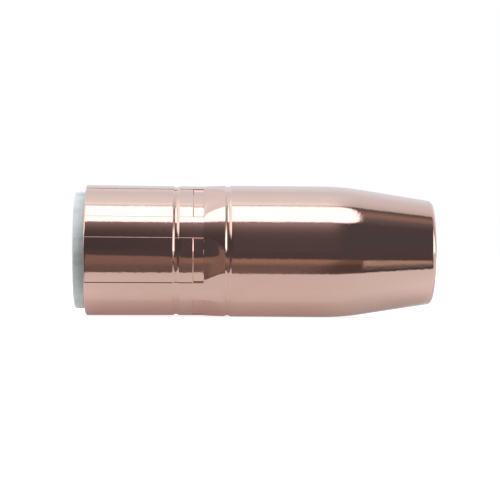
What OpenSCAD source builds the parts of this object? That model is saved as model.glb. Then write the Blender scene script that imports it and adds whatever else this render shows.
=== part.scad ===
// Insulated gas nozzle of a MIG welding torch. A copper shell is rolled and crimped
// onto a glass-fibre sleeve, and the sleeve holds a slotted brass socket that slips
// over the torch's head.
// Lengths are millimetres. The axis is X and runs from the torch to the gas outlet.
// The origin is on the axis where the socket's straight bore begins, just inside its
// lead-in. Places along the shell are measured from its rear edge, and places along
// the socket from its mouth.

/* [Shell] */
// Length of the copper shell
shell_len = 67; // [60:0.5:90]
// Outside diameter of the plain body
body_d = 25.4; // [25.2:0.1:27]
// Outside diameter at the rear edge
rear_d = 25.24; // [25.1:0.02:25.4]
// Wall of the shell up to the nose
wall = 1.3; // [1:0.05:1.5]
// Rounding of the rear edge
rear_round = 0.35; // [0.2:0.05:0.8]

/* [Crimps] */
// Number of crimps round the shell
crimp_count = 6; // [4:1:8]
// Width of one crimp round the shell, in degrees
crimp_angle = 41; // [30:1:44]
// Length of the crimps from the rear edge
crimp_len = 22.7; // [20:0.1:24]
// Depth of the crimps
crimp_depth = 0.08; // [0.04:0.01:0.15]
// Length of the deeper pad at the front of each crimp
pad_len = 2; // [1:0.1:3]
// Depth of the pads below the crimps
pad_depth = 0.2; // [0.1:0.02:0.3]
// Turn of the first crimp from straight down, in degrees
crimp_turn = 38.8; // [0:0.1:60]
// Outside diameter of the shell at the front end of the crimps
crimp_d = 25; // [24.8:0.02:25.2]
// Length of the flare from the crimps to the plain body
flare_len = 6.3; // [5:0.1:10]

/* [Grooves] */
// Place of the rear groove along the shell
rear_groove_at = 17.3; // [10:0.1:19]
// Place of the front groove along the shell
front_groove_at = 27.3; // [25:0.1:36]
// Width of each groove
groove_w = 1.2; // [0.8:0.1:1.6]
// Depth of each groove
groove_depth = 0.23; // [0.1:0.01:0.35]

/* [Nose] */
// Length of the outside taper, back from the outlet
taper_len = 18; // [14:0.5:28]
// Outside diameter of the taper at the outlet
nose_d = 19.95; // [19:0.05:22]
// Half length of the soft bend where the outside taper starts
taper_bend = 3.8; // [1:0.1:4]
// Bore of the gas outlet
outlet_d = 16; // [13:0.5:17]
// Length of the outlet's straight bore, with its lip
outlet_len = 6; // [4:0.5:9]
// Length of the inside cone, back from the straight bore
throat_len = 14; // [8:0.5:18]
// Half length of the soft bends at the ends of the inside cone
throat_bend = 1; // [0.5:0.1:2]
// Rounding of the lip
lip_round = 0.9; // [0.4:0.05:0.95]

/* [Insulator sleeve] */
// Length of the sleeve that stands out behind the shell
sleeve_out = 2.1; // [1.5:0.1:6]
// Rounding of the sleeve's rear edge
sleeve_round = 0.45; // [0.2:0.05:0.7]
// Chamfer at the sleeve's rear bore
sleeve_chamfer = 0.3; // [0.2:0.05:0.6]
// Clearance between the sleeve and the crimped shell
sleeve_gap = 0.01; // [0:0.01:0.05]
// Thickness of the stop lip at the sleeve's front
stop_len = 1.5; // [1:0.1:3]
// Radial room between the stop lip and what passes through the socket
stop_room = 0.4; // [0.2:0.05:0.8]

/* [Socket insert] */
// Bore of the socket
socket_d = 17; // [16:0.1:17.6]
// Wall of the socket's mouth ring
socket_wall = 1.2; // [1.15:0.05:1.5]
// Distance from the sleeve's rear face in to the socket's mouth
socket_recess = 1; // [0.5:0.1:3]
// Length of the unslotted mouth ring
mouth_len = 8; // [6:0.5:12]
// Lead-in chamfer at the mouth
lead_in = 0.6; // [0.2:0.1:0.9]
// Chamfer inside the finger tips
tip_chamfer = 0.3; // [0.1:0.05:0.5]
// Relief round the outside of the fingers
finger_relief = 0.5; // [0.3:0.05:0.6]
// Number of slots between the fingers
slot_count = 6; // [4:1:8]
// Width of each slot
slot_w = 1.2; // [0.6:0.1:2]
// Distance from the relief's shoulder to the slots' roots
slot_root = 0.6; // [0.3:0.1:3]
// Place of the locking rib along the socket
rib_at = 3.5; // [2:0.1:5]
// Width of the locking rib
rib_w = 1.5; // [0.8:0.1:2.5]
// Height of the locking rib
rib_h = 0.35; // [0.2:0.05:0.6]
// Clearance between the socket and the sleeve
socket_gap = 0.01; // [0:0.01:0.05]
// Clearance between the finger tips and the stop lip
tip_gap = 0.2; // [0.1:0.05:0.5]

/* [Grip ring] */
// Wire diameter of the grip ring
wire_d = 0.7; // [0.5:0.05:0.75]
// Place of the ring along the socket
ring_at = 21; // [14:0.5:23]
// Opening between the ring's ends, in degrees
ring_open = 30; // [10:1:60]
// Wall left under the ring's groove
groove_floor = 0.4; // [0.3:0.05:0.45]
// Clearance between the ring and its groove
ring_gap = 0.01; // [0:0.01:0.05]

/* [Hidden] */
$fn = 144;
// Segments in each rounding, bend and flare
arc_steps = 6;
bend_steps = 8;
// Overrun of a cut past the face that it opens
over = 1;

body_r = body_d / 2;
rear_r = rear_d / 2;
crimp_r = crimp_d / 2;
outlet_r = outlet_d / 2;
crimp_pitch = 360 / crimp_count;
pad_at = crimp_len - pad_len;
// Circle that cuts a groove of the stated width and depth
groove_r = (groove_w * groove_w / 4 + groove_depth * groove_depth) / (2 * groove_depth);

taper_at = shell_len - taper_len;
taper_fall = (body_d - nose_d) / 2 / taper_len;
taper_angle = atan(taper_fall);
straight_at = shell_len - outlet_len;
throat_at = straight_at - throat_len;
throat_fall = (body_r - wall - outlet_r) / throat_len;
// The lip's two roundings share the lip's thickness
lip_r = min(lip_round, 0.48 * (nose_d - outlet_d) / 2);
lip_at = shell_len - lip_r;

socket_x = -lead_in;
sleeve_x = socket_x - socket_recess;
shell_x = sleeve_x + sleeve_out;
sleeve_front = front_groove_at - groove_w / 2;
sleeve_len = sleeve_front + sleeve_out;
socket_len = sleeve_len - socket_recess - stop_len - tip_gap;

socket_r = socket_d / 2;
socket_outer_r = socket_r + socket_wall;
sleeve_bore_r = socket_outer_r + socket_gap;
finger_r = socket_outer_r - finger_relief;
slot_at = mouth_len + finger_relief + slot_root + slot_w / 2;
ring_r = socket_r + groove_floor + ring_gap + wire_d / 2;

// Outside radius of the rear of the shell, which narrows evenly to the crimps' front end
function collar_r(at) = rear_r + (crimp_r - rear_r) * at / crimp_len;

// Outside radius of the shell from the rear edge to the plain body
function barrel_r(at) =
    at < crimp_len
    ? collar_r(max(at, 0))
    : crimp_r + (body_r - crimp_r) * (1 - pow(1 - min((at - crimp_len) / flare_len, 1), 2));

// Profile points are [radius, place along the axis]
function arc(centre, radius, from, to) = [
    for (i = [0:arc_steps])
        let (a = from + (to - from) * i / arc_steps)
        centre + radius * [cos(a), sin(a)]
];

// Soft bend of a profile at one corner, between two falls in radius per unit of length
function bend(at, radius, fall_in, fall_out, half) = [
    for (i = [0:bend_steps])
        let (d = 2 * half * i / bend_steps)
        [radius + fall_in * (half - d) - (fall_out - fall_in) * d * d / (4 * half), at - half + d]
];

// Flare of the barrel from the crimps' front end to the plain body
function flare(inset) = [
    for (i = [0:bend_steps])
        let (at = crimp_len + flare_len * i / bend_steps)
        [barrel_r(at) - inset, at]
];

// Turns a profile that stands on Z into one that lies along X, measured from the shell's rear edge
module along_shell() {
    translate([shell_x, 0, 0])
        rotate([0, 90, 0])
            children();
}

// The same, measured from the socket's mouth
module along_socket() {
    translate([socket_x, 0, 0])
        rotate([0, 90, 0])
            children();
}

// The same, measured from the sleeve's rear face
module along_sleeve() {
    translate([sleeve_x, 0, 0])
        rotate([0, 90, 0])
            children();
}

module shell_outside() {
    rotate_extrude()
        polygon(concat(
            [[0, 0]],
            arc([rear_r - rear_round, rear_round], rear_round, -90, 0),
            flare(0),
            bend(taper_at, body_r, 0, taper_fall, taper_bend),
            arc([body_r - taper_fall * (lip_at - taper_at) - lip_r / cos(taper_angle), lip_at],
                lip_r, taper_angle, 90),
            [[0, shell_len]]
        ));
}

module shell_inside() {
    rotate_extrude()
        polygon(concat(
            [[0, -over], [rear_r - wall, -over], [rear_r - wall, 0]],
            flare(wall),
            bend(throat_at, body_r - wall, 0, throat_fall, throat_bend),
            bend(straight_at, outlet_r, throat_fall, 0, throat_bend),
            arc([outlet_r + lip_r, lip_at], lip_r, 180, 90),
            [[outlet_r + lip_r, shell_len + over], [0, shell_len + over]]
        ));
}

// One crimp, from a start along the axis to its front end, with its deeper pad
module crimp(inset, from) {
    floor_inset = inset + crimp_depth;
    rotate([0, 0, -crimp_angle / 2])
        rotate_extrude(angle = crimp_angle)
            polygon([
                [barrel_r(from) - floor_inset, from],
                [barrel_r(pad_at) - floor_inset, pad_at],
                [barrel_r(pad_at) - floor_inset - pad_depth, pad_at],
                [crimp_r - floor_inset - pad_depth, crimp_len],
                [crimp_r - inset + over, crimp_len],
                [barrel_r(from) - inset + over, from]
            ]);
}

// Ring that rolls a groove into a wall at one place
module groove_ring(at, inset) {
    translate([0, 0, at])
        rotate_extrude()
            translate([barrel_r(at) - inset - groove_depth + groove_r, 0])
                circle(r = groove_r);
}

// Presses the crimps and grooves into a form of revolution that lies inset from the shell's outside
module pressed(inset, from) {
    difference() {
        children();
        for (i = [0:crimp_count - 1])
            rotate([0, 0, crimp_turn + crimp_pitch * i])
                crimp(inset, from);
        groove_ring(rear_groove_at, inset);
        groove_ring(front_groove_at, inset);
    }
}

module nozzle_shell() {
    color([0.86, 0.58, 0.49])
        along_shell()
            difference() {
                pressed(0, -over)
                    shell_outside();
                pressed(wall, -over)
                    shell_inside();
            }
}

// The sleeve fills the crimped shell, so that crimps and grooves lock it
module sleeve_outside(inset) {
    intersection() {
        rotate_extrude()
            polygon(concat(
                [[0, -sleeve_out]],
                arc([rear_r - inset - sleeve_round, sleeve_round - sleeve_out], sleeve_round, -90, 0),
                [[rear_r - inset, 0]],
                flare(inset),
                [[body_r - inset, sleeve_front + flare_len], [0, sleeve_front + flare_len]]
            ));
        translate([0, 0, -sleeve_out])
            cylinder(r = body_r, h = sleeve_len);
    }
}

// Bore of the sleeve, with the seat of the socket's locking rib and the stop lip
module sleeve_bore() {
    rib_start = socket_recess + rib_at - socket_gap;
    rib_end = socket_recess + rib_at + rib_w + socket_gap;
    rib_r = sleeve_bore_r + rib_h;
    stop_r = socket_r + stop_room;
    mouth_r = sleeve_bore_r + sleeve_chamfer;
    rotate_extrude()
        polygon([
            [0, -over],
            [mouth_r, -over],
            [mouth_r, 0],
            [sleeve_bore_r, sleeve_chamfer],
            [sleeve_bore_r, rib_start],
            [rib_r, rib_start],
            [rib_r, rib_end],
            [sleeve_bore_r, rib_end],
            [sleeve_bore_r, sleeve_len - stop_len],
            [stop_r, sleeve_len - stop_len],
            [stop_r, sleeve_len + over],
            [0, sleeve_len + over]
        ]);
}

module insulator_sleeve() {
    inset = wall + sleeve_gap;
    color([0.80, 0.84, 0.82])
        difference() {
            along_shell()
                pressed(inset, 0)
                    sleeve_outside(inset);
            along_sleeve()
                sleeve_bore();
        }
}

// Slot with a round root, cut from inside the bore out through one side of the fingers
module finger_slot() {
    cut_from = socket_r / 2;
    cut_depth = socket_outer_r + over - cut_from;
    half = slot_w / 2;
    translate([cut_from, 0, 0])
        rotate([90, 0, 90])
            linear_extrude(height = cut_depth)
                polygon(concat(
                    arc([0, slot_at], half, 180, 360),
                    [[half, socket_len + over], [-half, socket_len + over]]
                ));
}

// The mouth ring, the locking rib and the fingers with the grip ring's square groove
module socket_insert() {
    ring_groove_half = wire_d / 2 + ring_gap;
    ring_floor_r = socket_r + groove_floor;
    color([0.83, 0.66, 0.34])
        along_socket()
            difference() {
                rotate_extrude()
                    polygon([
                        [socket_r + lead_in, 0],
                        [socket_outer_r, 0],
                        [socket_outer_r, rib_at],
                        [socket_outer_r + rib_h, rib_at],
                        [socket_outer_r + rib_h, rib_at + rib_w],
                        [socket_outer_r, rib_at + rib_w],
                        [socket_outer_r, mouth_len],
                        [finger_r, mouth_len + finger_relief],
                        [finger_r, ring_at - ring_groove_half],
                        [ring_floor_r, ring_at - ring_groove_half],
                        [ring_floor_r, ring_at + ring_groove_half],
                        [finger_r, ring_at + ring_groove_half],
                        [finger_r, socket_len],
                        [socket_r + tip_chamfer, socket_len],
                        [socket_r, socket_len - tip_chamfer],
                        [socket_r, lead_in]
                    ]);
                for (i = [0:slot_count - 1])
                    rotate([0, 0, 360 / slot_count * i])
                        finger_slot();
            }
}

// Split ring of spring wire, open over the middle of one finger
module grip_ring() {
    color([0.62, 0.64, 0.66])
        along_socket()
            translate([0, 0, ring_at])
                rotate([0, 0, 180 / slot_count + ring_open / 2])
                    rotate_extrude(angle = 360 - ring_open)
                        translate([ring_r, 0])
                            circle(d = wire_d);
}

nozzle_shell();
insulator_sleeve();
socket_insert();
grip_ring();
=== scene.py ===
import math

import bmesh
import bpy
from mathutils import Matrix, Vector


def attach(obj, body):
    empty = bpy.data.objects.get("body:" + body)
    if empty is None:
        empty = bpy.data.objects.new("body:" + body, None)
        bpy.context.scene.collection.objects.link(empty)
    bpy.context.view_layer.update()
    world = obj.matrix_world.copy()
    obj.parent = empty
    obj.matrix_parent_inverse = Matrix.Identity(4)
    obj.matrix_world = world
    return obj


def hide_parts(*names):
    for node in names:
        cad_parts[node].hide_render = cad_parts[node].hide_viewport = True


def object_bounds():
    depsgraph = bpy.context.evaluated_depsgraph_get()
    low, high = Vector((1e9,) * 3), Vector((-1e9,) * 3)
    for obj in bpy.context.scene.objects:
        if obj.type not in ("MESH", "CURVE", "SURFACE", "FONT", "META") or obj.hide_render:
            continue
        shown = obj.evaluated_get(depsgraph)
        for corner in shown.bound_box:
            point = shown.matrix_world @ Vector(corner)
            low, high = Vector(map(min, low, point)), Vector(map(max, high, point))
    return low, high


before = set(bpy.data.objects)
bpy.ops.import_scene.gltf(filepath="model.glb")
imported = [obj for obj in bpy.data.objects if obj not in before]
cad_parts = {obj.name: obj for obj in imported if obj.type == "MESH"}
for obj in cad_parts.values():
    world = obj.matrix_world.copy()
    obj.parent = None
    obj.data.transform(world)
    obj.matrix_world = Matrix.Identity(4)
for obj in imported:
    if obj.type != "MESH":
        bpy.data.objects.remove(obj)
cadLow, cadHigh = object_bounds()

mm = 0.001
scene = bpy.context.scene


# small helpers for node trees, shared by geometry, materials and the world

def node(tree, kind, inputs=None, **settings):
    made = tree.nodes.new(kind)
    for key, value in settings.items():
        setattr(made, key, value)
    for key, value in (inputs or {}).items():
        if isinstance(value, bpy.types.NodeSocket):
            tree.links.new(value, made.inputs[key])
        else:
            made.inputs[key].default_value = value
    return made


def calc(tree, operation, *values):
    return node(tree, "ShaderNodeMath", dict(enumerate(values)), operation=operation).outputs[0]


def sums(tree, *operations):
    # each of these sums as a function that adds its node to this tree
    def working(operation):
        return lambda *values: calc(tree, operation, *values)

    return [working(operation) for operation in operations]


def between(tree, share, first, second):
    return calc(tree, "MULTIPLY_ADD", share, calc(tree, "SUBTRACT", second, first), first)


def clamped(tree, value):
    return node(tree, "ShaderNodeClamp", {"Value": value}).outputs[0]


def smoothStep(tree, value, start, end, low=0.0, high=1.0):
    return node(tree, "ShaderNodeMapRange", {
        "Value": value, "From Min": start, "From Max": end, "To Min": low, "To Max": high,
    }, interpolation_type="SMOOTHSTEP").outputs["Result"]


def diagonal(tree, first, second):
    squares = [calc(tree, "POWER", side, 2.0) for side in (first, second)]
    return calc(tree, "SQRT", calc(tree, "ADD", *squares))


def parts(tree, vector):
    return node(tree, "ShaderNodeSeparateXYZ", {0: vector}).outputs


def combined(tree, x=0.0, y=0.0, z=0.0):
    return node(tree, "ShaderNodeCombineXYZ", {0: x, 1: y, 2: z}).outputs[0]


def grey(tree, value):
    return combined(tree, value, value, value)


def stretched(tree, vector, factors):
    return node(tree, "ShaderNodeMapping", {"Vector": vector, "Scale": factors}).outputs[0]


def objectPlace(tree):
    return node(tree, "ShaderNodeTexCoord").outputs["Object"]


def mixColour(tree, factor, first, second, blend="MIX"):
    colours = {0: factor, 6: first, 7: second}
    return node(tree, "ShaderNodeMix", colours, data_type="RGBA", blend_type=blend).outputs[2]


def tinted(tree, colour, tint):
    return mixColour(tree, 1.0, colour, tint, "MULTIPLY")


def ramp(tree, factor, stops):
    made = node(tree, "ShaderNodeValToRGB", {"Fac": factor})
    band = made.color_ramp
    while len(band.elements) < len(stops):
        band.elements.new(0.5)
    for element, (place, colour) in zip(band.elements, stops):
        element.position = place
        element.color = (*colour, 1)
    return made.outputs["Color"]


def noise(tree, vector, scale, detail=2.0, roughness=0.5):
    return node(tree, "ShaderNodeTexNoise", {
        "Vector": vector, "Scale": scale, "Detail": detail, "Roughness": roughness,
    }).outputs[0]


# the copper tube, its six crimps and its two grooves; places run from the shell's rear edge, in mm

tube = {
    "rearEdge": 0.5,          # where that rear edge lies on X
    "length": 67.0,
    "radius": 12.691,         # a hair under the drawn 12.7, so that every facet stays in its box
    "rearRadius": 12.62,
    "crimpedRadius": 12.5,
    "wall": 1.3,
    "rearRound": 0.35,
    "rearChamfer": 0.08,      # inside the rear edge
    "flare": 6.3,             # length over which the tube widens again ahead of the crimps
    "taperLength": 17.5,
    "taperEndRadius": 9.975,
    "taperBend": 4.0,
    "outletRadius": 8.0,
    "outletLength": 6.0,
    "throatLength": 14.0,
    "throatBend": 1.0,
    "lipRound": 0.9,
}

crimps = {
    "count": 6,
    "angle": 41.0,
    "turn": 38.8,             # first crimp, in degrees from straight down towards +Y
    "length": 22.7,
    "depth": 0.11,
    "crown": 0.025,           # fall of the ridges between crimps, from their middle to their edges
    "padLength": 2.0,
    "padDepth": 0.2,
    "steepFlank": 0.08,       # width of the flank on a crimp's first side, as the angle grows
    "softFlank": 0.16,        # and on its other side, where the tool drags
    "steepPadFlank": 0.38,    # width of the quarter rounds at a pad's sides
    "softPadFlank": 0.45,
    "padWall": 0.2,           # width of the slope at a pad's start
    "padStep": 0.14,          # and at its end
    "dent": 0.36,             # depth of the dent that each pad drags into the flare
    "dentLength": 4.6,
    "dentFade": 3.0,
    "dentSide": 3.0,          # width of the quarter rounds at the dent's sides
    "dentNarrowing": 2.9,     # how far each side of the dent has come in at its end
    "steepDentTaper": 2.45,   # power by which it comes in on the first side
    "softDentTaper": 0.65,
    "dentSideLoss": 0.35,     # share of that narrowing which the quarter rounds give up
}

grooves = {
    "rear": 17.46,
    "front": 27.38,
    "width": 1.2,
    "depth": 0.23,
    "steepBow": 2.4,          # powers that shape a groove's rear and front halves
    "gentleBow": 1.9,
    "soften": 0.03,
}

# how finely the tube's mesh follows each stretch, in mm along it

meshSteps = {
    "straight": 2.0,
    "groove": 0.06,
    "padWall": 0.03,
    "padStep": 0.02,
    "dent": 0.2,
    "flare": 0.3,
    "taper": 0.3,
    "throat": 0.2,
    "arc": 0.3,               # clear space kept next to a rounded end
}


def barrelRadius(at):
    if at < crimps["length"]:
        share = max(at, 0) / crimps["length"]
        return tube["rearRadius"] + (tube["crimpedRadius"] - tube["rearRadius"]) * share
    left = 1 - min((at - crimps["length"]) / tube["flare"], 1)
    return tube["crimpedRadius"] + (tube["radius"] - tube["crimpedRadius"]) * (1 - left * left)


def softCorner(at, corner, radius, fallIn, fallOut, half):
    # a corner between two straight slopes, bent evenly over this half length on each side
    into = min(max(at - corner + half, 0), 2 * half)
    past = at - (corner - half + into)
    fall = fallIn if past < 0 else fallOut
    bend = (fallOut - fallIn) * into * into / (4 * half)
    return radius + fallIn * (half - into) - bend - fall * past


taperAt = tube["length"] - tube["taperLength"]
taperFall = (tube["radius"] - tube["taperEndRadius"]) / tube["taperLength"]
straightAt = tube["length"] - tube["outletLength"]
throatAt = straightAt - tube["throatLength"]
throatFall = (tube["radius"] - tube["wall"] - tube["outletRadius"]) / tube["throatLength"]


def outerRadius(at):
    if at < (crimps["length"] + taperAt) / 2:
        return barrelRadius(at)
    return softCorner(at, taperAt, tube["radius"], 0, taperFall, tube["taperBend"])


def innerRadius(at):
    bore = tube["radius"] - tube["wall"]
    if at < (crimps["length"] + throatAt) / 2:
        return barrelRadius(at) - tube["wall"]
    if at < (throatAt + straightAt) / 2:
        return softCorner(at, throatAt, bore, 0, throatFall, tube["throatBend"])
    return softCorner(at, straightAt, tube["outletRadius"], throatFall, 0, tube["throatBend"])


def stretches(coarse):
    # stretches of the crimped rear that need closer rings, with their steps made this much coarser
    besideGroove, besideWall = 0.04, 0.02
    groove = grooves["width"] / 2 + besideGroove
    wall = crimps["padWall"] / 2 + besideWall
    step = crimps["padStep"] / 2
    end = crimps["length"]
    padAt = end - crimps["padLength"]
    rear, front = grooves["rear"], grooves["front"]
    return [(start, finish, meshSteps[kind] * coarse) for start, finish, kind in (
        (rear - groove, rear + groove, "groove"),
        (padAt - wall, padAt + wall, "padWall"),
        (end - step, end + step, "padStep"),
        (end + step, front - groove, "dent"),
        (front - groove, front + groove, "groove"),
        (front + groove, end + tube["flare"], "flare"),
    )]


def crimpColumns():
    # each mark is a place across a crimp and the count of mesh columns from it to the next mark
    half = math.radians(crimps["angle"] / 2) * tube["radius"]
    pitch = 2 * math.pi / crimps["count"] * tube["radius"]
    guard = 0.02
    marks = [
        (-half - guard, 1),
        (-half, 3),
        (crimps["steepFlank"] - half, 6),
        (crimps["steepPadFlank"] - half, 10),
        (crimps["dentSide"] - half, 8),
        (half - crimps["dentSide"], 14),
        (half - crimps["softPadFlank"], 5),
        (half - crimps["softFlank"], 4),
        (half, 1),
        (half + guard, 9),
        (pitch - half - guard, 0),
    ]
    turns = []
    for i in range(crimps["count"]):
        middle = math.radians(crimps["turn"]) + i * pitch / tube["radius"]
        for (start, steps), (end, _) in zip(marks, marks[1:]):
            across = [start + (end - start) * k / steps for k in range(steps)]
            turns += [middle + place / tube["radius"] for place in across]
    return turns


# lathe work: a ring is (place along X, radius, inside, pressed), its sizes in mm

edges = {
    "sharpOver": 35.0,        # degrees from which an edge is shaded sharp
    "bevelOver": 40.0,        # and from which it is bevelled
    "bevelSteps": 2,
    "cornerShare": 0.45,      # the most of a side that one rounded corner takes
}


def places(start, end, step, *closer):
    marks = set()

    def fill(first, last, width):
        # the hair taken off keeps an exact fit from getting one step more
        count = max(1, math.ceil((last - first) / width - 1e-6))
        marks.update(round(first + (last - first) * i / count, 5) for i in range(count + 1))

    fill(start, end, step)
    for first, last, width in closer:
        first, last = max(first, start), min(last, end)
        marks -= {m for m in marks if first < m < last}
        fill(first, last, width)
    return sorted(marks)


def arc(at, radius, size, start, end, steps):
    turns = [math.radians(start + (end - start) * i / steps) for i in range(steps + 1)]
    return [(at + size * math.sin(t), radius + size * math.cos(t)) for t in turns]


def softened(corners, steps):
    rings = []
    for i, (at, radius, size) in enumerate(corners):
        here = Vector((at, radius))
        if not size:
            rings.append(here)
            continue
        before = Vector(corners[i - 1][:2]) - here
        after = Vector(corners[(i + 1) % len(corners)][:2]) - here
        size = min(size, edges["cornerShare"] * before.length, edges["cornerShare"] * after.length)
        start, end = here + before.normalized() * size, here + after.normalized() * size
        for k in range(steps + 1):
            t = k / steps
            rings.append(start * (1 - t) ** 2 + here * 2 * t * (1 - t) + end * t * t)
    return [(r.x, r.y) for r in rings]


def lathe(name, rings, turns):
    points, faces = [], []
    across = len(turns)
    for at, radius, *_ in rings:
        points += [(at * mm, radius * math.sin(t) * mm, -radius * math.cos(t) * mm) for t in turns]
    for i in range(len(rings)):
        here, there = i * across, (i + 1) % len(rings) * across
        for k in range(across):
            beside = (k + 1) % across
            faces.append((here + k, here + beside, there + beside, there + k))
    mesh = bpy.data.meshes.new(name)
    mesh.from_pydata(points, [], faces)
    for place, label in ((2, "inside"), (3, "pressed")):
        values = [ring[place] for ring in rings for _ in turns]
        mesh.attributes.new(label, "FLOAT", "POINT").data.foreach_set("value", values)
    work = bmesh.new()
    work.from_mesh(mesh)
    bmesh.ops.recalc_face_normals(work, faces=work.faces)
    work.to_mesh(mesh)
    work.free()
    mesh.shade_smooth()
    return newObject(name, mesh)


def newObject(name, data):
    made = bpy.data.objects.new(name, data)
    scene.collection.objects.link(made)
    return made


def geometryTree(name, sizes):
    tree = bpy.data.node_groups.new(name, "GeometryNodeTree")
    tree.interface.new_socket("Geometry", in_out="INPUT", socket_type="NodeSocketGeometry")
    kinds = {int: "NodeSocketInt", float: "NodeSocketFloat"}
    for label, value in sizes.items():
        kind = kinds.get(type(value), "NodeSocketMaterial")
        tree.interface.new_socket(label, in_out="INPUT", socket_type=kind)
    tree.interface.new_socket("Geometry", in_out="OUTPUT", socket_type="NodeSocketGeometry")
    return tree, node(tree, "NodeGroupInput").outputs


def endTree(tree, geometry, material):
    real = node(tree, "GeometryNodeRealizeInstances", {0: geometry}).outputs[0]
    done = node(tree, "GeometryNodeSetMaterial", {"Geometry": real, "Material": material})
    node(tree, "NodeGroupOutput", {0: done.outputs[0]})


def runTree(piece, tree, sizes, bevel=0.0):
    modifier = piece.modifiers.new(tree.name, "NODES")
    modifier.node_group = tree
    for item in tree.interface.items_tree:
        if item.in_out == "INPUT" and item.name in sizes:
            modifier[item.identifier] = sizes[item.name]
    if bevel:
        edge = piece.modifiers.new("edges", "BEVEL")
        edge.width, edge.segments, edge.limit_method = bevel * mm, edges["bevelSteps"], "ANGLE"
        edge.angle_limit = math.radians(edges["bevelOver"])
    graph = bpy.context.evaluated_depsgraph_get()
    mesh = bpy.data.meshes.new_from_object(piece.evaluated_get(graph))
    piece.modifiers.clear()
    piece.data = mesh
    mesh.name = piece.name
    mesh.set_sharp_from_angle(angle=math.radians(edges["sharpOver"]))


# materials

def newMaterial(name):
    material = bpy.data.materials.new(name)
    material.use_nodes = True
    tree = material.node_tree
    tree.nodes.clear()
    shader = node(tree, "ShaderNodeBsdfPrincipled")
    node(tree, "ShaderNodeOutputMaterial", {"Surface": shader.outputs[0]})
    return material, tree, shader


def unrolledPlace(tree, arcLength=0.012):
    # along the axis, round it (metres for each radian) and out from it
    across = parts(tree, objectPlace(tree))
    radius = diagonal(tree, across[1], across[2])
    turn = calc(tree, "ARCTAN2", across[1], across[2])
    return combined(tree, across[0], calc(tree, "MULTIPLY", turn, arcLength), radius)


def varied(tree, pattern, amount, base):
    # a base value that a pattern of about 0 to 1 moves by this amount
    return calc(tree, "MULTIPLY_ADD", pattern, amount, base - amount / 2)


def bumped(tree, shader, layers):
    normal = None
    for height, distance in layers:
        inputs = {"Height": height, "Distance": distance, "Strength": 1.0}
        if normal:
            inputs["Normal"] = normal
        normal = node(tree, "ShaderNodeBump", inputs).outputs[0]
    tree.links.new(normal, shader.inputs["Normal"])


copperFinish = {
    "colour": (0.95, 0.64, 0.54, 1),
    "tarnish": (0.90, 0.55, 0.44, 1),
    "inner": (0.80, 0.47, 0.36, 1),
    "film": 0.35,             # the most that tarnish shows on the polish
    "roughness": 0.055,
    "innerRoughness": 0.32,
    "peel": 0.9e-5,           # height of the fine orange peel, in metres
    "wave": 2.6e-6,           # height of the slow waves that rolling leaves
    "cloudScale": 170,
    "drawnScale": 2600,
    "peelScale": 1800,
    "waveScale": 260,
}


def copperMaterial():
    finish = copperFinish
    material, tree, shader = newMaterial("polished copper")
    unrolled = unrolledPlace(tree)
    inside = node(tree, "ShaderNodeAttribute", attribute_name="inside").outputs["Fac"]
    cloud = noise(tree, stretched(tree, unrolled, (0.6, 1, 1)), finish["cloudScale"], 3)
    film = smoothStep(tree, cloud, 0.5, 0.85, 0.0, finish["film"])
    skin = mixColour(tree, film, finish["colour"], finish["tarnish"])
    drawn = noise(tree, stretched(tree, unrolled, (0.05, 1, 1)), finish["drawnScale"], 3)
    dull = mixColour(tree, smoothStep(tree, drawn, 0.3, 0.7), finish["inner"], finish["tarnish"])
    tree.links.new(mixColour(tree, inside, skin, dull), shader.inputs["Base Color"])
    shader.inputs["Metallic"].default_value = 1
    haze = varied(tree, cloud, 0.05, finish["roughness"])
    innerHaze = varied(tree, drawn, 0.2, finish["innerRoughness"])
    tree.links.new(between(tree, inside, haze, innerHaze), shader.inputs["Roughness"])
    peel = noise(tree, objectPlace(tree), finish["peelScale"], 3, 0.7)
    wave = noise(tree, stretched(tree, unrolled, (0.5, 1, 1)), finish["waveScale"], 2)
    bumped(tree, shader, [(peel, finish["peel"]), (wave, finish["wave"])])
    return material


sleeveFinish = {
    "colour": (0.77, 0.82, 0.785, 1),
    "fibre": (0.87, 0.90, 0.875, 1),
    "resin": (0.59, 0.64, 0.60, 1),
    "roughness": 0.42,
    "threadHeight": 6e-6,
    "layerHeight": 5e-6,
    "threadScale": 9000,
    "crossScale": 8000,
    "layerScale": 5200,
    "cloudScale": 500,
    "speckScale": 7000,
    "lightInside": 0.6,       # share of the light that passes through the laminate's surface
    "lightReach": (0.8, 1.0, 0.95),
    "lightDepth": 0.0012,
}


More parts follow.
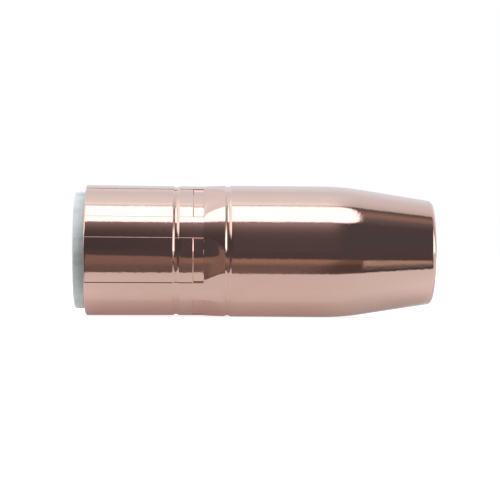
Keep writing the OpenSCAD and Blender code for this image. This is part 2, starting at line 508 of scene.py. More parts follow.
def sleeveMaterial():
    finish = sleeveFinish
    material, tree, shader = newMaterial("glass fibre laminate")
    place, unrolled = objectPlace(tree), unrolledPlace(tree)
    threads = noise(tree, stretched(tree, unrolled, (1, 0.12, 1)), finish["threadScale"], 2)
    cross = noise(tree, stretched(tree, unrolled, (0.12, 1, 1)), finish["crossScale"], 2)
    layers = noise(tree, stretched(tree, unrolled, (0.02, 0.05, 1)), finish["layerScale"], 2)
    cloud = noise(tree, place, finish["cloudScale"], 3)
    speck = noise(tree, place, finish["speckScale"], 1)
    tone = finish["colour"]
    for pattern, start, end, most, colour in (
        (threads, 0.35, 0.75, 1.0, "fibre"),
        (cross, 0.55, 0.8, 0.5, "fibre"),
        (layers, 0.55, 0.75, 0.7, "resin"),
        (cloud, 0.5, 0.8, 0.35, "resin"),
        (speck, 0.68, 0.76, 0.6, "resin"),
    ):
        share = smoothStep(tree, pattern, start, end, 0.0, most)
        tone = mixColour(tree, share, tone, finish[colour])
    tree.links.new(tone, shader.inputs["Base Color"])
    tree.links.new(varied(tree, threads, 0.2, finish["roughness"]), shader.inputs["Roughness"])
    shader.inputs["Subsurface Weight"].default_value = finish["lightInside"]
    shader.inputs["Subsurface Radius"].default_value = finish["lightReach"]
    shader.inputs["Subsurface Scale"].default_value = finish["lightDepth"]
    bumped(tree, shader, [(threads, finish["threadHeight"]), (layers, finish["layerHeight"])])
    return material


brassFinish = {
    "colour": (0.83, 0.62, 0.28, 1),
    "dull": (0.62, 0.43, 0.17, 1),
    "roughness": 0.24,
    "markHeight": 5e-6,
    "markScale": 5200,
    "cloudScale": 300,
}


def brassMaterial():
    finish = brassFinish
    material, tree, shader = newMaterial("turned brass")
    marks = noise(tree, stretched(tree, unrolledPlace(tree), (1, 0.02, 1)), finish["markScale"], 2)
    cloud = noise(tree, objectPlace(tree), finish["cloudScale"], 3)
    tone = finish["colour"]
    for pattern, start, end, most in ((cloud, 0.4, 0.75, 0.6), (marks, 0.55, 0.8, 0.5)):
        share = smoothStep(tree, pattern, start, end, 0.0, most)
        tone = mixColour(tree, share, tone, finish["dull"])
    tree.links.new(tone, shader.inputs["Base Color"])
    shader.inputs["Metallic"].default_value = 1
    tree.links.new(varied(tree, marks, 0.2, finish["roughness"]), shader.inputs["Roughness"])
    bumped(tree, shader, [(marks, finish["markHeight"])])
    return material


springFinish = {
    "colour": (0.58, 0.59, 0.61, 1),
    "blued": (0.38, 0.40, 0.46, 1),
    "roughness": 0.305,
    "lineHeight": 3e-6,
    "lineScale": 9000,
    "cloudScale": 400,
}


def springMaterial():
    finish = springFinish
    material, tree, shader = newMaterial("drawn spring wire")
    lines = noise(tree, stretched(tree, unrolledPlace(tree), (1, 0.03, 1)), finish["lineScale"], 2)
    cloud = noise(tree, objectPlace(tree), finish["cloudScale"], 3)
    tone = mixColour(tree, smoothStep(tree, cloud, 0.35, 0.75), finish["colour"], finish["blued"])
    tree.links.new(tone, shader.inputs["Base Color"])
    shader.inputs["Metallic"].default_value = 1
    tree.links.new(varied(tree, lines, 0.25, finish["roughness"]), shader.inputs["Roughness"])
    bumped(tree, shader, [(lines, finish["lineHeight"])])
    return material


# the pressing that crimps and grooves give the tube, and the sleeve under it

pressSizes = {
    "Rear edge": tube["rearEdge"] * mm,
    "Crimp count": crimps["count"],
    "Crimp turn": math.radians(crimps["turn"]),
    "Crimp width": math.radians(crimps["angle"]) * tube["radius"] * mm,
    "Crimp length": crimps["length"] * mm,
    "Crimp depth": crimps["depth"] * mm,
    "Pad length": crimps["padLength"] * mm,
    "Pad depth": crimps["padDepth"] * mm,
    "Crown": crimps["crown"] * mm,
    "Steep flank": crimps["steepFlank"] * mm,
    "Soft flank": crimps["softFlank"] * mm,
    "Steep pad flank": crimps["steepPadFlank"] * mm,
    "Soft pad flank": crimps["softPadFlank"] * mm,
    "Pad wall": crimps["padWall"] * mm,
    "Pad step": crimps["padStep"] * mm,
    "Dent depth": crimps["dent"] * mm,
    "Dent length": crimps["dentLength"] * mm,
    "Dent fade": crimps["dentFade"],
    "Dent side": crimps["dentSide"] * mm,
    "Dent narrowing": crimps["dentNarrowing"] * mm,
    "Steep dent taper": crimps["steepDentTaper"],
    "Soft dent taper": crimps["softDentTaper"],
    "Dent side loss": crimps["dentSideLoss"],
    "Rear groove": grooves["rear"] * mm,
    "Front groove": grooves["front"] * mm,
    "Groove width": grooves["width"] * mm,
    "Groove depth": grooves["depth"] * mm,
    "Steep bow": grooves["steepBow"],
    "Gentle bow": grooves["gentleBow"],
    "Groove soften": grooves["soften"] * mm,
}


def pressTree():
    tree, given = geometryTree("rolled and crimped", pressSizes | {"Material": None})
    add, minus, times, over, power = sums(tree, "ADD", "SUBTRACT", "MULTIPLY", "DIVIDE", "POWER")
    across = parts(tree, node(tree, "GeometryNodeInputPosition").outputs[0])
    at = minus(across[0], given["Rear edge"])
    turn = calc(tree, "ARCTAN2", across[1], times(across[2], -1.0))
    halfPitch = over(math.pi, given["Crimp count"])
    fromFirst = minus(turn, given["Crimp turn"])
    offset = calc(tree, "WRAP", fromFirst, halfPitch, times(halfPitch, -1.0))
    aside = times(calc(tree, "ABSOLUTE", offset), tube["radius"] * mm)
    halfWidth = times(given["Crimp width"], 0.5)
    inside = minus(halfWidth, aside)
    secondSide = calc(tree, "GREATER_THAN", offset, 0.0)

    def bySide(label):
        return between(tree, secondSide, given["Steep " + label], given["Soft " + label])

    def share(width, within=inside):
        return clamped(tree, over(within, width))

    def quarterRound(width, within=inside):
        return minus(1.0, power(minus(1.0, share(width, within)), 2.0))

    def slope(place, width):
        half = times(width, 0.5)
        return smoothStep(tree, at, minus(place, half), add(place, half))

    # the flat of each crimp, with the ridges between them crowned
    toRidge = times(halfPitch, tube["radius"] * mm)
    offRidge = over(minus(toRidge, aside), minus(toRidge, halfWidth))
    crown = times(power(calc(tree, "MINIMUM", offRidge, 1.0), 2.0), given["Crown"])
    fall = minus(given["Crimp depth"], given["Crown"])
    flatDepth = add(times(share(bySide("flank")), fall), crown)

    # the deeper pad at each crimp's front end
    padAt = minus(given["Crimp length"], given["Pad length"])
    pad = times(slope(padAt, given["Pad wall"]), quarterRound(bySide("pad flank")))
    padded = add(times(pad, given["Pad depth"]), flatDepth)
    ended = slope(given["Crimp length"], given["Pad step"])
    depth = times(padded, minus(1.0, ended))

    # the dent ahead of it, which narrows and fades towards the front groove
    ahead = clamped(tree, over(minus(at, given["Crimp length"]), given["Dent length"]))
    fade = minus(1.0, power(ahead, given["Dent fade"]))
    narrowing = times(power(ahead, bySide("dent taper")), given["Dent narrowing"])
    side = minus(given["Dent side"], times(narrowing, given["Dent side loss"]))
    dent = times(times(quarterRound(side, minus(inside, narrowing)), fade), ended)
    depth = add(times(dent, given["Dent depth"]), depth)

    for label in ("Rear groove", "Front groove"):
        away = over(minus(at, given[label]), times(given["Groove width"], 0.5))
        front = calc(tree, "GREATER_THAN", away, 0.0)
        bow = between(tree, front, given["Steep bow"], given["Gentle bow"])
        roll = minus(1.0, power(calc(tree, "ABSOLUTE", away), bow))
        roll = times(roll, given["Groove depth"])
        depth = add(depth, calc(tree, "SMOOTH_MAX", roll, 0.0, given["Groove soften"]))

    follows = node(tree, "GeometryNodeInputNamedAttribute", {"Name": "pressed"}, data_type="FLOAT")
    inwards = times(times(depth, follows.outputs["Attribute"]), -1.0)
    flat = combined(tree, 0.0, across[1], across[2])
    outwards = node(tree, "ShaderNodeVectorMath", {0: flat}, operation="NORMALIZE").outputs[0]
    move = node(tree, "ShaderNodeVectorMath", {0: outwards, "Scale": inwards}, operation="SCALE")
    moved = node(tree, "GeometryNodeSetPosition", {
        "Geometry": given["Geometry"], "Offset": move.outputs[0]})
    endTree(tree, moved.outputs[0], given["Material"])
    return tree


def makeShell(material, press, turns):
    lip = min(tube["lipRound"], 0.48 * (tube["taperEndRadius"] - tube["outletRadius"]))
    lipAt = tube["length"] - lip
    lean = math.atan(taperFall)
    rearRound, rear = tube["rearRound"], tube["rearRadius"]
    straight, clear = meshSteps["straight"], meshSteps["arc"]
    rearSteps, lipSteps = 10, 12
    taperReach, throatReach = tube["taperBend"] + 0.4, tube["throatBend"] + 0.2

    outer = arc(rearRound, rear - rearRound, rearRound, -90, 0, rearSteps)
    taper = (taperAt - taperReach, taperAt + taperReach, meshSteps["taper"])
    outer += [(at, outerRadius(at)) for at in places(
        rearRound + clear, lipAt - clear, straight, *stretches(1), taper)]
    lipRadius = tube["radius"] - taperFall * (lipAt - taperAt) - lip / math.cos(lean)
    outer += arc(lipAt, lipRadius, lip, math.degrees(lean), 90, lipSteps)

    lipInside = arc(lipAt, tube["outletRadius"] + lip, lip, 90, 180, lipSteps)
    bends = [(at - throatReach, at + throatReach, meshSteps["throat"])
             for at in (throatAt, straightAt)]
    bore = [(at, innerRadius(at)) for at in places(
        0.1, lipAt - clear, straight, *stretches(3), *bends)]
    bore = bore[::-1] + [(0.0, innerRadius(0) + tube["rearChamfer"])]

    # the polish gives way to the duller bore over the first rings behind the lip
    fadeRings = 3
    shades = [0.0] * (len(outer) + len(lipInside))
    shades += [min(1.0, i / fadeRings) for i in range(len(bore))]
    rings = [(at + tube["rearEdge"], radius, shade, 1.0)
             for (at, radius), shade in zip(outer + lipInside + bore, shades)]
    piece = lathe("copper_shell", rings, turns)
    runTree(piece, press, pressSizes | {"Material": material})
    return piece


sleeve = {
    "out": 2.1,               # how far it stands out behind the shell
    "gap": 0.01,
    "rearRound": 0.45,
    "bore": 9.71,
    "chamfer": 0.3,
    "ribFrom": 2.39,          # the seat of the socket's rib
    "ribTo": 3.91,
    "ribRadius": 10.06,
    "stopLength": 1.5,        # the lip that stops the socket
    "stopRadius": 8.9,
    "frontRound": 0.15,
    "stopRound": 0.12,
    "mouthRound": 0.08,
    "seatRound": 0.05,
    "roundSteps": 6,
}


def makeSleeve(material, press, turns):
    s = sleeve
    inset = tube["wall"] + s["gap"]
    front = grooves["front"] - grooves["width"] / 2
    stop = front - s["stopLength"]
    back, bore = -s["out"], s["bore"]
    rear = tube["rearRadius"] - inset
    straight, clear = meshSteps["straight"], meshSteps["arc"]
    along = places(0.0, front - clear, straight, *stretches(3))
    corners = [
        (back, rear, s["rearRound"]),
        (-clear, rear, 0),
        *((at, barrelRadius(at) - inset, 0) for at in along),
        (front, barrelRadius(front) - inset, s["frontRound"]),
        (front, s["stopRadius"], s["stopRound"]),
        (stop, s["stopRadius"], s["stopRound"]),
        (stop, bore, s["seatRound"]),
        (s["ribTo"], bore, s["seatRound"]),
        (s["ribTo"], s["ribRadius"], s["seatRound"]),
        (s["ribFrom"], s["ribRadius"], s["seatRound"]),
        (s["ribFrom"], bore, s["seatRound"]),
        (back + s["chamfer"], bore, s["mouthRound"]),
        (back, bore + s["chamfer"], s["mouthRound"]),
    ]
    # only the outside follows the crimps
    outside = s["ribRadius"] + 0.3
    rings = [(at + tube["rearEdge"], radius, 0.0, 1.0 if radius > outside else 0.0)
             for at, radius in softened(corners, s["roundSteps"])]
    piece = lathe("insulating_sleeve", rings, turns)
    runTree(piece, press, pressSizes | {"Material": material})
    return piece


socket = {
    "mouth": -0.6,            # place of the mouth on X; the places below run from there
    "bore": 8.5,
    "wall": 1.2,
    "leadIn": 0.6,
    "mouthLength": 8.0,
    "relief": 0.5,            # how much thinner the fingers are than the mouth
    "length": 26.1,
    "tipChamfer": 0.3,
    "ribAt": 3.5,
    "ribWidth": 1.5,
    "ribHeight": 0.35,
    "ringAt": 21.0,
    "ringGrooveHalf": 0.36,
    "ringFloor": 0.4,         # metal left under the ring's groove
    "slotCount": 6,
    "slotWidth": 1.2,
    "slotAt": 9.7,
    "slotPast": 2.0,          # how far the cutters run past the fingers' tips
    "slotSides": 48,
    "columns": 180,
    "edgeRound": 0.06,
    "endRound": 0.12,
    "stepRound": 0.08,
    "slopeRound": 0.15,
    "ribRootRound": 0.03,
    "ringRootRound": 0.05,
    "roundSteps": 4,
    "bevel": 0.04,
}


def slotTree(sizes):
    tree, given = geometryTree("finger slots", sizes)
    add, minus, times, over = sums(tree, "ADD", "SUBTRACT", "MULTIPLY", "DIVIDE")
    extent = minus(given["Slot end"], given["Slot root"])
    middle = times(add(given["Slot end"], given["Slot root"]), 0.5)
    down = times(given["Reach"], -1.0)
    step = over(2 * math.pi, given["Slot count"])
    size = combined(tree, extent, given["Slot width"], given["Reach"])
    box = node(tree, "GeometryNodeMeshCube", {"Size": size}).outputs[0]
    pin = node(tree, "GeometryNodeMeshCylinder", {
        "Vertices": socket["slotSides"], "Radius": times(given["Slot width"], 0.5),
        "Depth": given["Reach"]}).outputs[0]
    cut = node(tree, "GeometryNodeMeshBoolean", {"Mesh 1": given["Geometry"]},
               operation="DIFFERENCE", solver="EXACT")
    for shape, along in ((box, middle), (pin, given["Slot root"])):
        placed = node(tree, "GeometryNodeTransform", {
            "Geometry": shape, "Translation": combined(tree, along, 0.0, down)}).outputs[0]
        points = node(tree, "GeometryNodePoints", {"Count": given["Slot count"]}).outputs[0]
        turn = times(node(tree, "GeometryNodeInputIndex").outputs[0], step)
        spread = node(tree, "GeometryNodeInstanceOnPoints", {
            "Points": points, "Instance": placed, "Rotation": combined(tree, turn)}).outputs[0]
        cutter = node(tree, "GeometryNodeRealizeInstances", {0: spread}).outputs[0]
        tree.links.new(cutter, cut.inputs["Mesh 2"])
    endTree(tree, cut.outputs["Mesh"], given["Material"])
    return tree


def makeSocket(material):
    s = socket
    outer = s["bore"] + s["wall"]
    finger = outer - s["relief"]
    rib = outer + s["ribHeight"]
    grooveFloor = s["bore"] + s["ringFloor"]
    ribEnd = s["ribAt"] + s["ribWidth"]
    grooveStart = s["ringAt"] - s["ringGrooveHalf"]
    grooveEnd = s["ringAt"] + s["ringGrooveHalf"]
    corners = [(at, radius, s[kind + "Round"]) for at, radius, kind in (
        (0, s["bore"] + s["leadIn"], "edge"),
        (0, outer, "end"),
        (s["ribAt"], outer, "ribRoot"),
        (s["ribAt"], rib, "edge"),
        (ribEnd, rib, "edge"),
        (ribEnd, outer, "ribRoot"),
        (s["mouthLength"], outer, "step"),
        (s["mouthLength"] + s["relief"], finger, "slope"),
        (grooveStart, finger, "edge"),
        (grooveStart, grooveFloor, "ringRoot"),
        (grooveEnd, grooveFloor, "ringRoot"),
        (grooveEnd, finger, "edge"),
        (s["length"], finger, "end"),
        (s["length"], s["bore"] + s["tipChamfer"], "edge"),
        (s["length"] - s["tipChamfer"], s["bore"], "edge"),
        (s["leadIn"], s["bore"], "slope"),
    )]
    rounded = softened(corners, s["roundSteps"])
    rings = [(at + s["mouth"], radius, 0.0, 0.0) for at, radius in rounded]
    turns = [2 * math.pi * (i + 0.5) / s["columns"] for i in range(s["columns"])]
    piece = lathe("brass_socket", rings, turns)
    sizes = {
        "Slot count": s["slotCount"],
        "Slot width": s["slotWidth"] * mm,
        "Slot root": (s["mouth"] + s["slotAt"]) * mm,
        "Slot end": (s["mouth"] + s["length"] + s["slotPast"]) * mm,
        "Reach": outer * mm,
        "Material": material,
    }
    runTree(piece, slotTree(sizes), sizes, bevel=s["bevel"])
    return piece


gripRing = {
    "wire": 0.7,
    "radius": 9.26,
    "at": 20.4,
    "open": 30.0,             # degrees left open
    "steps": 160,
    "wireSteps": 24,
    "bevel": 0.08,
}


def makeGripRing(material):
    sizes = {
        "Radius": gripRing["radius"] * mm,
        "Wire radius": gripRing["wire"] / 2 * mm,
        "Place": gripRing["at"] * mm,
        "Start": math.radians(180 / socket["slotCount"] + gripRing["open"] / 2),
        "Sweep": math.radians(360 - gripRing["open"]),
        "Material": material,
    }
    tree, given = geometryTree("wire ring", sizes)
    path = node(tree, "GeometryNodeCurveArc", {
        "Resolution": gripRing["steps"], "Radius": given["Radius"],
        "Start Angle": given["Start"], "Sweep Angle": given["Sweep"],
    }, mode="RADIUS").outputs[0]
    wire = node(tree, "GeometryNodeCurvePrimitiveCircle", {
        "Resolution": gripRing["wireSteps"], "Radius": given["Wire radius"],
    }, mode="RADIUS").outputs[0]
    body = node(tree, "GeometryNodeCurveToMesh", {
        "Curve": path, "Profile Curve": wire, "Fill Caps": True}).outputs[0]
    laid = node(tree, "GeometryNodeTransform", {
        "Geometry": body, "Translation": combined(tree, given["Place"]),
        "Rotation": (0, math.pi / 2, 0)}).outputs[0]
    endTree(tree, laid, given["Material"])
    piece = newObject("grip_ring_wire", bpy.data.meshes.new("grip_ring_wire"))
    runTree(piece, tree, sizes, bevel=gripRing["bevel"])
    piece.data.shade_smooth()
    piece.data.set_sharp_from_angle(angle=math.radians(edges["sharpOver"]))
    return piece


print("Nozzle: making the crimped copper shell")
press, turns = pressTree(), crimpColumns()
shellPiece = makeShell(copperMaterial(), press, turns)
print("Nozzle: making the insulating sleeve")
sleevePiece = makeSleeve(sleeveMaterial(), press, turns)
print("Nozzle: making the slotted socket and its grip ring")
socketPiece = makeSocket(brassMaterial())
ringPiece = makeGripRing(springMaterial())

for piece, cadNode, slot in (
    (shellPiece, "nozzle_shell", "copper"),
    (sleevePiece, "insulator_sleeve", "glass_fibre"),
    (socketPiece, "socket_insert", "brass"),
    (ringPiece, "grip_ring", "spring_steel"),
):
    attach(piece, "root")
    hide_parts(cadNode)


# studio: a white floor, two mats in front that only the polish sees, which are painted
# reflections, and the room's light

def stageMaterial(name):
    material = bpy.data.materials.new(name)
    material.use_nodes = True
    tree = material.node_tree
    tree.nodes.clear()
    return material, tree


def stageSheet(name, corners, height, material):
    points = [(x * mm, y * mm, height) for x, y in corners]
    mesh = bpy.data.meshes.new(name)
    mesh.from_pydata(points, [], [tuple(range(len(points)))])
    mesh.materials.append(material)
    sheet = newObject(name, mesh)
    return sheet


floor = {
    "reach": 3500.0,
    "sides": 96,
    "colour": (0.28, 0.28, 0.28, 1),
    "glow": 0.87,             # what the camera sees on top of the lit floor
    "band": 30.0,             # the colours below go by the distance from the axis over this
    # The two tables below are a painted reflection: painted shade of the nozzle on the floor,
    # darkest under its axis and lightest about 8 mm out.
    "under": [                # what the polish sees on top of it, by mm from the axis
        (0.0, (0.26, 0.20, 0.20)), (3.1, (0.31, 0.26, 0.255)), (4.5, (0.33, 0.295, 0.29)),
        (7.4, (0.39, 0.368, 0.368)), (8.0, (0.43, 0.435, 0.44)), (10.5, (0.405, 0.415, 0.42)),
        (13.0, (0.365, 0.37, 0.37)), (22.0, (0.285, 0.285, 0.285))],
    "underNose": [
        (0.0, (0.28, 0.28, 0.29)), (3.6, (0.335, 0.355, 0.37)), (6.6, (0.40, 0.42, 0.44)),
        (9.5, (0.40, 0.445, 0.46)), (14.0, (0.35, 0.375, 0.38)), (22.0, (0.29, 0.30, 0.30))],
    "noseFrom": 42.0,         # along X, from the one to the other
    "noseTo": 58.0,
    "shine": 0.45,            # what dull parts see on top of it
    "shineNear": 15.0,        # and how far in front of the axis it reaches
}


def makeFloor():
    reach = floor["reach"]
    turns = [2 * math.pi * i / floor["sides"] for i in range(floor["sides"])]
    rim = [(reach * math.cos(t), reach * math.sin(t)) for t in turns]
    material, tree = stageMaterial("floor paper")
    add, times, over = sums(tree, "ADD", "MULTIPLY", "DIVIDE")
    place = parts(tree, objectPlace(tree))
    ray = node(tree, "ShaderNodeLightPath").outputs

    # painted reflection for the polish, with painted shade under the nozzle, a little lighter
    # under the raised nose
    fromAxis = over(calc(tree, "ABSOLUTE", place[1]), floor["band"] * mm)
    under, underNose = (
        ramp(tree, fromAxis, [(away / floor["band"], light) for away, light in floor[key]])
        for key in ("under", "underNose"))
    nose = smoothStep(tree, place[0], floor["noseFrom"] * mm, floor["noseTo"] * mm)
    under = mixColour(tree, nose, under, underNose)

    clear = calc(tree, "GREATER_THAN", place[1], -floor["shineNear"] * mm)
    shine = times(times(ray["Is Diffuse Ray"], clear), floor["shine"])
    glow = add(times(ray["Is Camera Ray"], floor["glow"]), shine)
    # glossy and transmission rays see that painted reflection and its painted shade in place of
    # the glow
    polished = calc(tree, "MAXIMUM", ray["Is Glossy Ray"], ray["Is Transmission Ray"])
    glow = mixColour(tree, polished, grey(tree, glow), under)
    paper = node(tree, "ShaderNodeBsdfDiffuse", {"Color": floor["colour"]})
    light = node(tree, "ShaderNodeEmission", {"Color": glow, "Strength": 1.0})
    both = node(tree, "ShaderNodeAddShader", {0: paper.outputs[0], 1: light.outputs[0]})
    node(tree, "ShaderNodeOutputMaterial", {"Surface": both.outputs[0]})
    stageSheet("floor", rim, cadLow.z, material)


# Both mats glow only for the polish: painted reflections. The brown one is toned for the rear, the
# body and the nose in turn, with painted shade ahead of the nose's part.
mats = {
    "near": 22.1,             # mm from the axis to the mats' near edge
    "far": 4000.0,
    "right": 83.0,
    "left": -4.0,             # where the brown mat ends and the dark one comes nearer
    "leftNear": 12.0,
    "leftSlant": 3.0,
    "dark": (0.072, 0.064, 0.070, 1),
    "leftFar": 100.0,         # from the axis to the brown mat's far corners
    "rightFar": 44.0,
    "farEdge": [(3, -86), (14, -79), (20, -63), (40, -61), (64, -57), (70, -52)],
    "darkLift": 0.05,         # each mat's height over the floor
    "brownLift": 0.1,
    "band": 100.0,            # the brown mat's colours go by how far in front they lie, over this
    "rear": [
        (0.22, (0.13, 0.107, 0.10)), (0.30, (0.145, 0.112, 0.104)), (0.38, (0.20, 0.145, 0.126)),
        (0.75, (0.225, 0.152, 0.13))],
    "body": [
        (0.22, (0.20, 0.15, 0.14)), (0.25, (0.16, 0.125, 0.12)), (0.33, (0.16, 0.117, 0.11)),
        (0.375, (0.215, 0.16, 0.135)), (0.43, (0.29, 0.205, 0.172)), (0.52, (0.30, 0.21, 0.172)),
        (0.75, (0.22, 0.15, 0.12))],
    "nose": [
        (0.245, (0.068, 0.066, 0.071)), (0.265, (0.13, 0.112, 0.114)),
        (0.29, (0.165, 0.135, 0.126)), (0.315, (0.23, 0.19, 0.168)), (0.35, (0.37, 0.30, 0.27)),
        (0.45, (0.38, 0.31, 0.27))],
    "slant": 0.38,            # how far the nose's part leans along X for each mm in front
    "bodyFrom": 14.0,         # along X, from the rear's colours to the body's
    "bodyTo": 30.0,
    "shadeFrom": 30.0,        # the shade ahead of the nose's part, and the share that it leaves
    "shadeTo": 42.0,
    "shadeLeft": 0.52,
    "noseFrom": 49.0,
    "noseTo": 49.9,
    "grainScale": 2000,
    "grain": 0.12,            # how much the mat's grain changes its light
    "noseGrain": 0.3,
    "grainFrom": 47.0,
    "grainTo": 50.0,
}


def onlyPolishSees(sheet):
    sheet.visible_camera = sheet.visible_diffuse = False
    sheet.visible_shadow = sheet.visible_transmission = False


def makeMats():
    near, far, left, right = mats["near"], mats["far"], mats["left"], mats["right"]
    # painted dark reflection: an even dark glow that only the polish sees
    material, tree = stageMaterial("painted dark reflection")
    light = node(tree, "ShaderNodeEmission", {"Color": mats["dark"], "Strength": 1.0})
    node(tree, "ShaderNodeOutputMaterial", {"Surface": light.outputs[0]})
    corners = [
        (-far, -far), (right + far / 2, -far), (right, -near), (left, -near),
        (left - mats["leftSlant"], -mats["leftNear"]), (-far, -mats["leftNear"])]
    onlyPolishSees(stageSheet("painted_dark_reflection", corners, cadLow.z + mats["darkLift"] * mm, material))

    # painted reflection whose tones go by the part of the nozzle that sees it, with painted shade
    # ahead of the nose
    material, tree = stageMaterial("painted brown reflection")
    add, times = sums(tree, "ADD", "MULTIPLY")
    place = objectPlace(tree)
    across = parts(tree, place)
    ahead = times(across[1], -1 / (mats["band"] * mm))
    rear, body, nose = (ramp(tree, ahead, mats[key]) for key in ("rear", "body", "nose"))
    along = add(times(across[1], mats["slant"]), across[0])

    def step(value, key, low=0.0, high=1.0):
        return smoothStep(tree, value, mats[key + "From"] * mm, mats[key + "To"] * mm, low, high)

    tone = mixColour(tree, step(across[0], "body"), rear, body)
    tone = tinted(tree, tone, grey(tree, step(along, "shade", 1.0, mats["shadeLeft"])))
    tone = mixColour(tree, step(along, "nose"), tone, nose)
    # a mottle in the painted reflection's glow
    grain = noise(tree, stretched(tree, place, (1, 0.18, 1)), mats["grainScale"], 2)
    grain = smoothStep(tree, grain, 0.3, 0.7, -1.0, 1.0)
    grain = add(times(grain, step(along, "grain", mats["grain"], mats["noseGrain"])), 1.0)
    light = node(tree, "ShaderNodeEmission", {"Color": tone, "Strength": grain})
    node(tree, "ShaderNodeOutputMaterial", {"Surface": light.outputs[0]})
    corners = [
        (right, -near), (right, -mats["rightFar"]), *reversed(mats["farEdge"]),
        (left, -mats["leftFar"]), (left, -near)]
    onlyPolishSees(stageSheet("painted_brown_reflection", corners, cadLow.z + mats["brownLift"] * mm, material))


# the room's walls, as (degrees up round the axis from the front, light)

walls = {
    "body": [
        (0, (0.086, 0.075, 0.083)), (8, (0.083, 0.072, 0.081)), (24, (0.09, 0.077, 0.086)),
        (33, (0.112, 0.097, 0.106)), (41, (0.17, 0.145, 0.155)), (51, (0.32, 0.27, 0.28)),
        (86.5, (0.34, 0.28, 0.28)), (87.6, (0.60, 0.55, 0.55)), (89, (0.84, 0.96, 1.03)),
        (91.5, (0.90, 1.04, 1.13)), (98, (0.78, 0.88, 0.94)), (108, (0.745, 0.845, 0.91)),
        (127, (0.67, 0.75, 0.83)), (143, (0.73, 0.85, 0.95)), (168, (0.72, 0.83, 0.93)),
        (173, (0.36, 0.36, 0.38)), (180, (0.30, 0.30, 0.31))],
    "nose": [
        (0, (0.069, 0.067, 0.076)), (52, (0.072, 0.07, 0.079)), (58, (0.10, 0.087, 0.095)),
        (67, (0.145, 0.125, 0.137)), (72, (0.225, 0.178, 0.166)), (77, (0.26, 0.19, 0.163)),
        (82, (0.185, 0.145, 0.14)), (85, (0.11, 0.10, 0.105)), (89, (0.12, 0.12, 0.13)),
        (90.8, (0.50, 0.52, 0.54)), (98, (0.585, 0.63, 0.67)), (108, (0.63, 0.70, 0.76)),
        (126, (0.66, 0.755, 0.845)), (143, (0.73, 0.86, 0.955)), (170, (0.72, 0.83, 0.93)),
        (180, (0.35, 0.35, 0.36))],
    "left": [
        (0, (0.035, 0.033, 0.035)), (30, (0.03, 0.03, 0.032)), (44, (0.65, 0.65, 0.65)),
        (105, (0.65, 0.65, 0.65)), (122, (0.42, 0.45, 0.48)), (170, (0.42, 0.45, 0.48)),
        (180, (0.2, 0.2, 0.2))],
    "right": [
        (0, (1, 1, 1)), (44, (1, 1, 1)), (56, (0.5, 0.5, 0.5)), (68, (0.16, 0.155, 0.155)),
        (76, (0.18, 0.175, 0.175)), (85, (0.28, 0.28, 0.28)), (104, (0.245, 0.24, 0.24)),
        (125, (0.38, 0.40, 0.42)), (140, (0.42, 0.45, 0.48)), (170, (0.42, 0.45, 0.48)),
        (180, (0.2, 0.2, 0.2))],
}

room = {
    "noseBlend": (5.0, 14.0),       # degrees towards +X over which one wall passes into the next
    "leftBlend": (-14.0, -34.0),
    "rightBlend": (29.0, 44.0),
    "rearShadeBlend": (-1.5, 1.4),
    "rearShade": 0.73,              # share of the light left on the rear's wall
    "rearShadeBelow": 53.0,
    "sideWalls": 1.8,
    "leftSpill": 1.05,              # how much more of the side walls falls on dull surfaces
    "rightSpill": 2.9,
    "leftGlance": 0.25,             # how much of the left wall the polish throws on dull surfaces
    "sky": 1.25,                    # how much more of the room's upper half falls on them
    "skyFrom": 88.0,
}

softbox = {
    "low": 53.3,              # degrees round the nozzle's axis, up from the front
    "high": 86.5,
    "left": -27.0,            # degrees along the axis, as a sloping wall turns them
    "right": 15.1,
    "wallMiddle": 4.7,        # where along the axis that wall is square to it
    "round": 9.0,             # length and height of the left end's rounding
    "tipUpper": (6.3, 19.0),  # and of the right end's two roundings
    "tipLower": (7.0, 10.0),
    "edge": (1.0, 0.97),
    "rim": (1.16, 1.06),      # the dark rim round the right end
    "rimBlend": (9.0, 14.0),
    "rimColour": (0.09, 0.08, 0.088, 1),
    "light": (1.6, 1.62, 1.8, 1),
    "spill": 2.9,             # how much more of it falls on dull surfaces
}


def softboxShape(tree, rise, aside):
    # the share of its light and of its dark rim in this direction
    add, minus, times, over = sums(tree, "ADD", "SUBTRACT", "MULTIPLY", "DIVIDE")
    low, high, left, right = (softbox[key] for key in ("low", "high", "left", "right"))
    corner = softbox["round"]
    upperLength, upperHeight = softbox["tipUpper"]
    lowerLength, lowerHeight = softbox["tipLower"]
    halfRise = times(rise, math.pi / 360)
    slope = over(minus(aside, softbox["wallMiddle"]), calc(tree, "COSINE", halfRise))
    fromCentre, above = minus(slope, (left + right) / 2), minus(rise, (low + high) / 2)
    rightSide = calc(tree, "GREATER_THAN", fromCentre, 0.0)
    upper = calc(tree, "GREATER_THAN", above, (lowerHeight - upperHeight) / 2)

    def past(distance, half, rounding):
        # how far into the rounding of one end, as a share of it
        return over(calc(tree, "MAXIMUM", minus(add(distance, rounding), half), 0.0), rounding)

    length = between(tree, rightSide, corner, between(tree, upper, lowerLength, upperLength))
    height = between(tree, rightSide, corner, between(tree, upper, lowerHeight, upperHeight))
    outwards = calc(tree, "ABSOLUTE", fromCentre)
    upwards = times(above, between(tree, upper, -1.0, 1.0))
    away = diagonal(tree, past(outwards, (right - left) / 2, length),
                    past(upwards, (high - low) / 2, height))
    onRight = smoothStep(tree, slope, *softbox["rimBlend"])
    rim = times(smoothStep(tree, away, *softbox["rim"]), onRight)
    return smoothStep(tree, away, *softbox["edge"]), rim


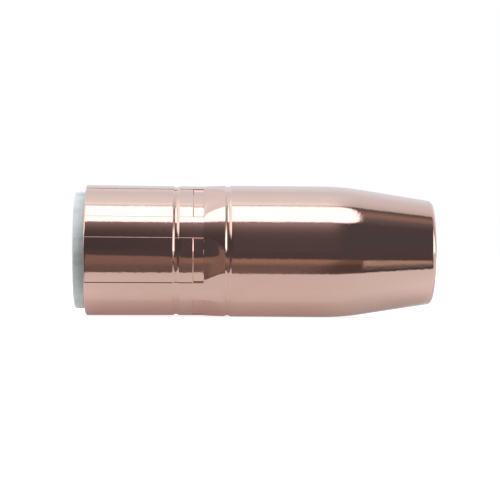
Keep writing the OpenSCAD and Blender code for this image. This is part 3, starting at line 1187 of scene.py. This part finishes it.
def makeRoom():
    world = bpy.data.worlds.new("studio room")
    scene.world = world
    world.use_nodes = True
    tree = world.node_tree
    tree.nodes.clear()
    add, times, over = sums(tree, "ADD", "MULTIPLY", "DIVIDE")
    across = parts(tree, node(tree, "ShaderNodeTexCoord").outputs["Generated"])
    rise = calc(tree, "ARCTAN2", across[2], times(across[1], -1.0))
    rise = times(rise, 180 / math.pi)
    aside = times(calc(tree, "ARCSINE", across[0]), 180 / math.pi)
    ray = node(tree, "ShaderNodeLightPath").outputs
    dull = ray["Is Diffuse Ray"]
    share = over(rise, 180.0)
    body, nose, left, right = (
        ramp(tree, share, [(degrees / 180, light) for degrees, light in walls[key]])
        for key in ("body", "nose", "left", "right"))

    def blended(key, first, second):
        return mixColour(tree, smoothStep(tree, aside, *room[key]), first, second)

    shade = smoothStep(tree, aside, *room["rearShadeBlend"], room["rearShade"], 1.0)
    above = calc(tree, "GREATER_THAN", rise, room["rearShadeBelow"])
    shade = between(tree, above, shade, 1.0)
    wall = blended("noseBlend", tinted(tree, body, grey(tree, shade)), nose)
    lit, rim = softboxShape(tree, rise, aside)
    wall = mixColour(tree, rim, wall, softbox["rimColour"])

    deep = calc(tree, "GREATER_THAN", ray["Diffuse Depth"], 0.5)
    glance = times(times(ray["Is Glossy Ray"], deep), room["leftGlance"] - 1)
    leftLight = add(glance, between(tree, dull, 1.0, room["leftSpill"]))
    rightLight = between(tree, dull, 1.0, room["rightSpill"])
    left, right = (
        tinted(tree, side, grey(tree, times(light, room["sideWalls"])))
        for side, light in ((left, leftLight), (right, rightLight)))
    wall = blended("rightBlend", blended("leftBlend", wall, left), right)

    sky = times(calc(tree, "GREATER_THAN", rise, room["skyFrom"]), dull)
    wall = tinted(tree, wall, grey(tree, between(tree, sky, 1.0, room["sky"])))
    spill = grey(tree, between(tree, dull, 1.0, softbox["spill"]))
    wall = mixColour(tree, lit, wall, tinted(tree, softbox["light"], spill))
    around, white = (
        node(tree, "ShaderNodeBackground", {"Color": colour, "Strength": 1.0}).outputs[0]
        for colour in (wall, (1, 1, 1, 1)))
    both = node(tree, "ShaderNodeMixShader", {0: ray["Is Camera Ray"], 1: around, 2: white})
    node(tree, "ShaderNodeOutputWorld", {"Surface": both.outputs[0]})


print("Studio: laying the floor and lighting the room")
makeFloor()
makeMats()
makeRoom()

view = {
    "distance": 380.0,        # mm from the axis
    "scale": 0.1945,          # mm on the axis for each of the frame's steps
    "frameSteps": 500,        # across the whole frame
    "aim": (32.24, 0.0, 0.26),
    "yaw": 1.53,
    "roll": 0.44,
    "sensor": 36.0,
    "clip": (0.01, 20.0),
}


def makeCamera():
    data = bpy.data.cameras.new("camera")
    data.sensor_width = view["sensor"]
    data.lens = view["distance"] / view["scale"] / view["frameSteps"] * view["sensor"]
    data.clip_start, data.clip_end = view["clip"]
    camera = newObject("camera", data)
    yaw, roll = math.radians(view["yaw"]), math.radians(view["roll"])
    back = Vector((-math.sin(yaw), -math.cos(yaw), 0))
    stand = Matrix.Translation(Vector(view["aim"]) * mm + back * view["distance"] * mm)
    turn = (-back).to_track_quat("-Z", "Y").to_matrix().to_4x4()
    camera.matrix_world = stand @ turn @ Matrix.Rotation(roll, 4, "Z")
    scene.camera = camera


print("Camera: standing level in front of the nozzle")
makeCamera()
scene.view_settings.view_transform = "Standard"
